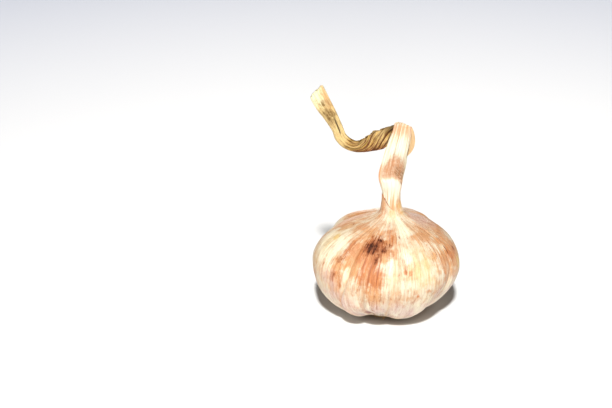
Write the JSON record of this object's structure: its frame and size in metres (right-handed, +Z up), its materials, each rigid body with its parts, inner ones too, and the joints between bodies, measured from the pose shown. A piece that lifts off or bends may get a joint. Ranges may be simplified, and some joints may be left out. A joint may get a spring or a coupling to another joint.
{
  "type": "garlic bulb",
  "caption": "Whole garlic bulb in its papery wrapper, resting on its corky root plate, with a dry twisted stem that folds over into a curling dry leaf.",
  "frame": {"origin": "centre of the root plate's flat underside, on the surface that the bulb rests on", "axes": "+Z up along the bulb's axis towards the stem, -Y towards the bulb's front, -X towards the leaf's tip"},
  "size_m": [0.0587, 0.0528, 0.0919],
  "materials": {
    "bulb_skin": "satin papery skin with fine lengthwise pleats and tan stains",
    "root_cork": "matte crumbly cork",
    "dry_stem": "satin straw with lengthwise fibres",
    "dry_leaf": "matte dry leaf with strong lengthwise ribs"
  },
  "bodies": {
    "root": {"bulb": "bulb_skin", "root_plate": "root_cork", "stem": "dry_stem", "leaf": "dry_leaf"}
  },
  "joints": []
}
